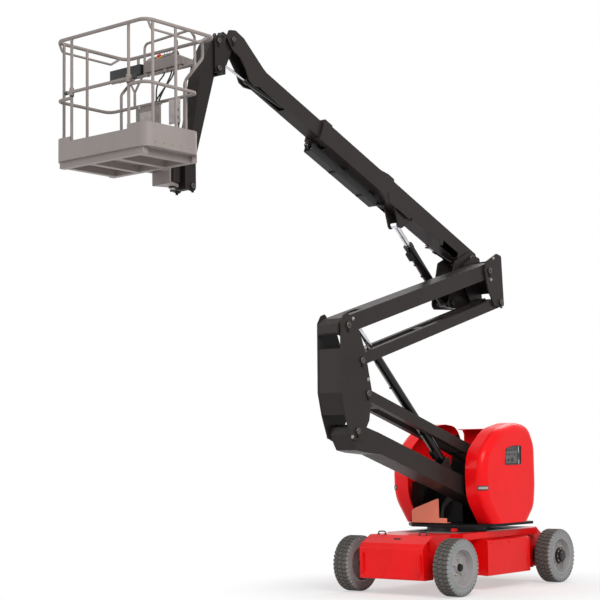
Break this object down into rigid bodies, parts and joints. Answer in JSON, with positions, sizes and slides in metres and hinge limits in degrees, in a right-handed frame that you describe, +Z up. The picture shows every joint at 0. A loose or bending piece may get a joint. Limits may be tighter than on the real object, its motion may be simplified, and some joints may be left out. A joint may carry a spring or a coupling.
{
  "type": "articulating boom lift",
  "caption": "Articulating boom lift: wheeled base, turning hooded turret, folding twin-arm tower, telescopic boom and hinged jib with a railed work platform.",
  "frame": {"origin": "on the ground under the slewing axis, half way between the axles", "axes": "+X forwards, the way the boom and platform point; +Y to the left; +Z up"},
  "size_m": [6.5649, 1.546, 5.619],
  "materials": {
    "chassis_red": "gloss",
    "hood_red": "gloss",
    "boom_grey": "satin",
    "turntable_black": "satin",
    "panel_salmon": "satin",
    "cast_black": "matte",
    "tyre_grey": "matte",
    "rim_grey": "satin",
    "hub_dark": "satin",
    "bare_steel": "satin",
    "rod_chrome": "polished",
    "platform_taupe": "satin",
    "console_black": "matte",
    "battery_black": "matte"
  },
  "bodies": {
    "chassis": {"chassis_frame": "chassis_red", "side_boxes": "hood_red", "steering_axle": "turntable_black", "rear_axle": "turntable_black", "slew_ring": "turntable_black"},
    "steering_left": {"steering_knuckle_left": "hub_dark"},
    "steering_right": {"steering_knuckle_right": "hub_dark"},
    "front_wheel_left": {"front_tyre_left": "tyre_grey", "front_rim_left": "rim_grey"},
    "front_wheel_right": {"front_tyre_right": "tyre_grey", "front_rim_right": "rim_grey"},
    "rear_wheel_left": {"rear_tyre_left": "tyre_grey", "rear_rim_left": "rim_grey", "drive_hub_left": "hub_dark"},
    "rear_wheel_right": {"rear_tyre_right": "tyre_grey", "rear_rim_right": "rim_grey", "drive_hub_right": "hub_dark"},
    "turret": {"turret_frame": "turntable_black", "counterweight": "cast_black", "battery_packs": "battery_black", "ground_controls": "console_black", "front_panel": "panel_salmon", "bridge_panel": "turntable_black"},
    "left_hood": {"hood_left": "hood_red"},
    "right_hood": {"hood_right": "hood_red"},
    "lower_arm_link": {"lower_arm": "boom_grey"},
    "lower_tie_link": {"lower_tie": "boom_grey"},
    "riser_link": {"riser": "boom_grey"},
    "upper_arm_link": {"upper_arm": "boom_grey"},
    "upper_tie_link": {"upper_tie": "boom_grey"},
    "knuckle_link": {"knuckle": "boom_grey"},
    "tower_barrel": {"tower_cylinder_barrel": "boom_grey"},
    "tower_rod": {"tower_cylinder_rod": "rod_chrome"},
    "boom": {"boom_outer": "boom_grey", "hose_tray": "turntable_black"},
    "boom_slide": {"boom_inner": "boom_grey"},
    "lift_barrel": {"lift_cylinder_barrel": "boom_grey"},
    "lift_rod": {"lift_cylinder_rod": "rod_chrome"},
    "levelling_barrel": {"levelling_cylinder_barrel": "boom_grey"},
    "levelling_rod": {"levelling_cylinder_rod": "rod_chrome"},
    "jib_levelling_barrel": {"jib_levelling_cylinder_barrel": "boom_grey"},
    "jib_levelling_rod": {"jib_levelling_cylinder_rod": "rod_chrome"},
    "jib_base_link": {"jib_base": "boom_grey"},
    "jib_arm_link": {"jib_arm": "boom_grey"},
    "jib_tie_link": {"jib_tie": "boom_grey"},
    "carrier_link": {"carrier": "boom_grey"},
    "platform": {"basket_floor": "platform_taupe", "rail_left": "platform_taupe", "rail_right": "platform_taupe", "rail_rear": "platform_taupe", "rail_front": "platform_taupe", "console": "console_black"},
    "platform_bar": {"entry_bar": "platform_taupe"}
  },
  "joints": [
    {"name": "steer_left", "type": "hinge", "parent": "chassis", "child": "steering_left", "pos_m": [1, 0.52, 0.3], "axis": [0, 0, 1], "range_deg": [-26, 26]},
    {"name": "steer_right", "type": "hinge", "parent": "chassis", "child": "steering_right", "pos_m": [1, -0.52, 0.3], "axis": [0, 0, 1], "range_deg": [-26, 26]},
    {"name": "front_wheel_left_spin", "type": "hinge", "parent": "steering_left", "child": "front_wheel_left", "pos_m": [1, 0.655, 0.3], "axis": [0, 1, 0], "continuous": true},
    {"name": "front_wheel_right_spin", "type": "hinge", "parent": "steering_right", "child": "front_wheel_right", "pos_m": [1, -0.655, 0.3], "axis": [0, 1, 0], "continuous": true},
    {"name": "rear_wheel_left_spin", "type": "hinge", "parent": "chassis", "child": "rear_wheel_left", "pos_m": [-1, 0.655, 0.3], "axis": [0, 1, 0], "continuous": true},
    {"name": "rear_wheel_right_spin", "type": "hinge", "parent": "chassis", "child": "rear_wheel_right", "pos_m": [-1, -0.655, 0.3], "axis": [0, 1, 0], "continuous": true},
    {"name": "slew", "type": "hinge", "parent": "chassis", "child": "turret", "pos_m": [0, 0, 0.66], "axis": [0, 0, 1], "range_deg": [-177.5, 177.5]},
    {"name": "hood_left_open", "type": "hinge", "parent": "turret", "child": "left_hood", "pos_m": [-0.752, 0.375, 1.325], "axis": [0, 0, 1], "range_deg": [0, 75]},
    {"name": "hood_right_open", "type": "hinge", "parent": "turret", "child": "right_hood", "pos_m": [-0.752, -0.375, 1.325], "axis": [0, 0, -1], "range_deg": [0, 75]},
    {"name": "tower_lift", "type": "hinge", "parent": "turret", "child": "lower_arm_link", "pos_m": [-0.402, 0.175, 0.906], "axis": [0, -1, 0], "range_deg": [-18.3, 37.7]},
    {"name": "lower_tie_swing", "type": "hinge", "parent": "turret", "child": "lower_tie_link", "pos_m": [-0.587, 0.175, 1.286], "axis": [0, -1, 0], "range_deg": [-18.35, 37.75]},
    {"name": "riser_level", "type": "hinge", "parent": "lower_arm_link", "child": "riser_link", "pos_m": [2.2045, 0.175, 1.71783], "axis": [0, -1, 0], "range_deg": [-37.75, 18.35]},
    {"name": "upper_arm_swing", "type": "hinge", "parent": "riser_link", "child": "upper_arm_link", "pos_m": [2.3295, 0.175, 2.77483], "axis": [0, 1, 0], "range_deg": [-18.35, 37.75]},
    {"name": "upper_tie_swing", "type": "hinge", "parent": "riser_link", "child": "upper_tie_link", "pos_m": [2.1095, 0.175, 2.42983], "axis": [0, 1, 0], "range_deg": [-18.35, 37.75]},
    {"name": "knuckle_level", "type": "hinge", "parent": "upper_arm_link", "child": "knuckle_link", "pos_m": [-0.30075, 0.175, 3.53899], "axis": [0, 1, 0], "range_deg": [-37.75, 18.35]},
    {"name": "tower_cylinder_swing", "type": "hinge", "parent": "lower_arm_link", "child": "tower_barrel", "pos_m": [0.49984, 0.175, 1.39009], "axis": [0, -1, 0], "range_deg": [-11.74, 5.72]},
    {"name": "tower_cylinder_stroke", "type": "slide", "parent": "tower_barrel", "child": "tower_rod", "axis": [0.7263, 0, 0.6874], "range_m": [-0.35503, 0.73087]},
    {"name": "boom_lift", "type": "hinge", "parent": "knuckle_link", "child": "boom", "pos_m": [-0.45075, -0.135, 3.72699], "axis": [0, -1, 0], "range_deg": [-24.5, 47.5]},
    {"name": "lift_cylinder_swing", "type": "hinge", "parent": "knuckle_link", "child": "lift_barrel", "pos_m": [-0.04, -0.135, 3.18], "axis": [0, -1, 0], "range_deg": [-21.24, 41.14]},
    {"name": "lift_cylinder_stroke", "type": "slide", "parent": "lift_barrel", "child": "lift_rod", "axis": [0.7395, 0, 0.6731], "range_m": [-0.25706, 0.49792]},
    {"name": "levelling_cylinder_swing", "type": "hinge", "parent": "knuckle_link", "child": "levelling_barrel", "pos_m": [-0.136, -0.055, 3.634], "axis": [0, -1, 0], "range_deg": [-33.12, 64.17]},
    {"name": "levelling_cylinder_stroke", "type": "slide", "parent": "levelling_barrel", "child": "levelling_rod", "axis": [0.9586, 0, 0.2848], "range_m": [-0.08602, 0.16631]},
    {"name": "boom_extend", "type": "slide", "parent": "boom", "child": "boom_slide", "axis": [0.9239, 0, 0.3827], "range_m": [-0.75, 0.7]},
    {"name": "jib_base_level", "type": "hinge", "parent": "boom_slide", "child": "jib_base_link", "pos_m": [3.56955, -0.135, 5.51889], "axis": [0, -1, 0], "range_deg": [-47.55, 24.55]},
    {"name": "jib_levelling_swing", "type": "hinge", "parent": "boom_slide", "child": "jib_levelling_barrel", "pos_m": [2.70575, -0.135, 4.99116], "axis": [0, -1, 0], "range_deg": [-2.5, 4.8]},
    {"name": "jib_levelling_stroke", "type": "slide", "parent": "jib_levelling_barrel", "child": "jib_levelling_rod", "axis": [0.9574, 0, 0.2888], "range_m": [-0.19118, 0.09885]},
    {"name": "jib_lift", "type": "hinge", "parent": "jib_base_link", "child": "jib_arm_link", "pos_m": [3.8, -0.135, 5.46], "axis": [0, 1, 0], "range_deg": [-142.5, 0]},
    {"name": "jib_tie_swing", "type": "hinge", "parent": "jib_base_link", "child": "jib_tie_link", "pos_m": [3.8, -0.135, 5.19], "axis": [0, 1, 0], "range_deg": [-142.6, 0.1]},
    {"name": "carrier_level", "type": "hinge", "parent": "jib_arm_link", "child": "carrier_link", "pos_m": [4.17588, -0.135, 4.26785], "axis": [0, 1, 0], "range_deg": [-0.1, 142.6]},
    {"name": "platform_turn", "type": "hinge", "parent": "carrier_link", "child": "platform", "pos_m": [4.34088, -0.135, 4.13285], "axis": [0, 0, 1], "range_deg": [-70, 70]},
    {"name": "entry_bar_slide", "type": "slide", "parent": "platform", "child": "platform_bar", "axis": [0, 0, 1], "range_m": [0, 0.35]}
  ],
  "couplings": [
    {"joint": "steer_right", "follows": "steer_left", "ratio": 1},
    {"joint": "lower_tie_swing", "follows": "tower_lift", "ratio": 1},
    {"joint": "riser_level", "follows": "tower_lift", "ratio": -1},
    {"joint": "upper_arm_swing", "follows": "tower_lift", "ratio": 1},
    {"joint": "upper_tie_swing", "follows": "tower_lift", "ratio": 1},
    {"joint": "knuckle_level", "follows": "tower_lift", "ratio": -1},
    {"joint": "tower_cylinder_swing", "follows": "tower_lift", "ratio": -0.31},
    {"joint": "tower_cylinder_stroke", "follows": "tower_lift", "m_per_rad": 1.11},
    {"joint": "lift_cylinder_swing", "follows": "boom_lift", "ratio": 0.865},
    {"joint": "lift_cylinder_stroke", "follows": "boom_lift", "m_per_rad": 0.6},
    {"joint": "levelling_cylinder_swing", "follows": "boom_lift", "ratio": 1.35},
    {"joint": "levelling_cylinder_stroke", "follows": "boom_lift", "m_per_rad": 0.2},
    {"joint": "jib_base_level", "follows": "boom_lift", "ratio": -1},
    {"joint": "jib_levelling_swing", "follows": "boom_lift", "ratio": 0.1},
    {"joint": "jib_levelling_stroke", "follows": "boom_lift", "m_per_rad": -0.23},
    {"joint": "jib_tie_swing", "follows": "jib_lift", "ratio": 1},
    {"joint": "carrier_level", "follows": "jib_lift", "ratio": -1}
  ]
}
